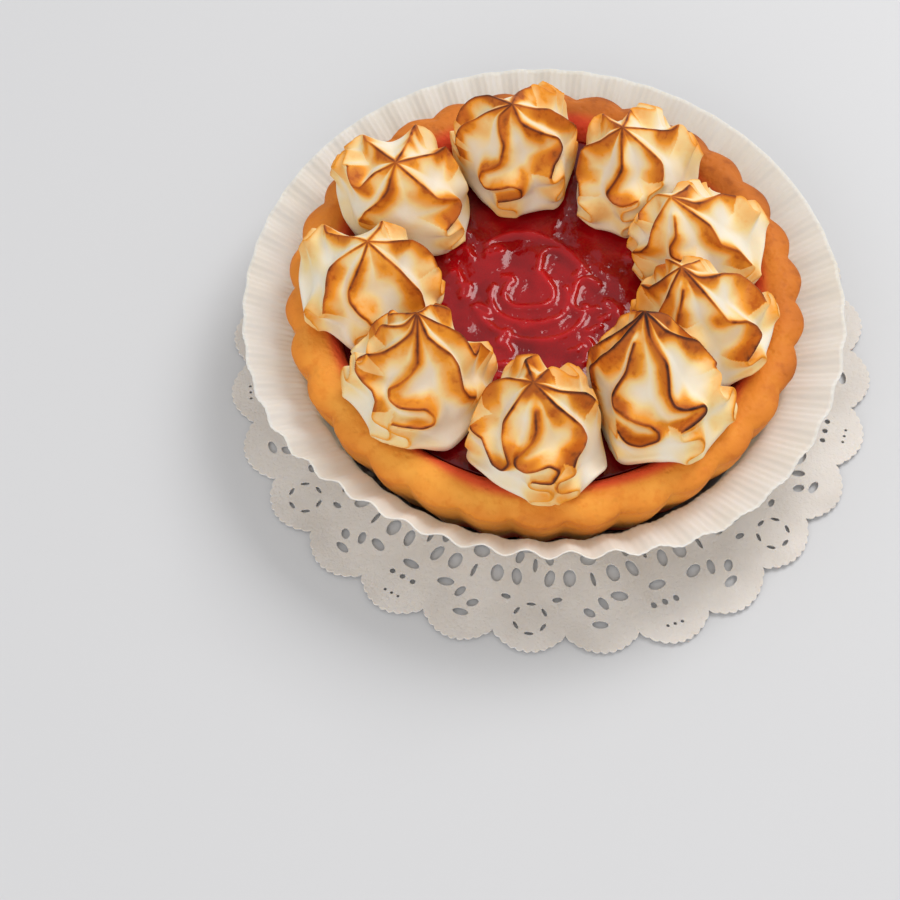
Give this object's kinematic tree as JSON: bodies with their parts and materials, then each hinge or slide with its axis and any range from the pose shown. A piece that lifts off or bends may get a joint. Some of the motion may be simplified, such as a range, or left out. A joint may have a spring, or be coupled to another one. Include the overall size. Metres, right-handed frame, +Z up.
{
  "type": "berry meringue tart",
  "caption": "Small fluted pastry tart with a glossy berry filling and a ring of torched meringue rosettes, in a pleated paper case on a round lace doily.",
  "frame": {"origin": "centre of the doily's underside, on the surface that the tart stands on", "axes": "+Z up out of the tart; -Y towards the side that the picture is taken from, +X to its right"},
  "size_m": [0.1278, 0.1278, 0.046],
  "materials": {
    "pastry": "golden baked shortcrust",
    "berry": "wet, glossy set jelly",
    "meringue": "cream, torched brown on the ridges",
    "case_paper": "thin greaseproof paper",
    "doily_paper": "soft embossed paper"
  },
  "bodies": {
    "root": {"lace_doily": "doily_paper", "paper_case": "case_paper", "crust": "pastry", "berry_filling": "berry", "rosette_1": "meringue", "rosette_2": "meringue", "rosette_3": "meringue", "rosette_4": "meringue", "rosette_5": "meringue", "rosette_6": "meringue", "rosette_7": "meringue", "rosette_8": "meringue", "rosette_9": "meringue"}
  },
  "joints": []
}
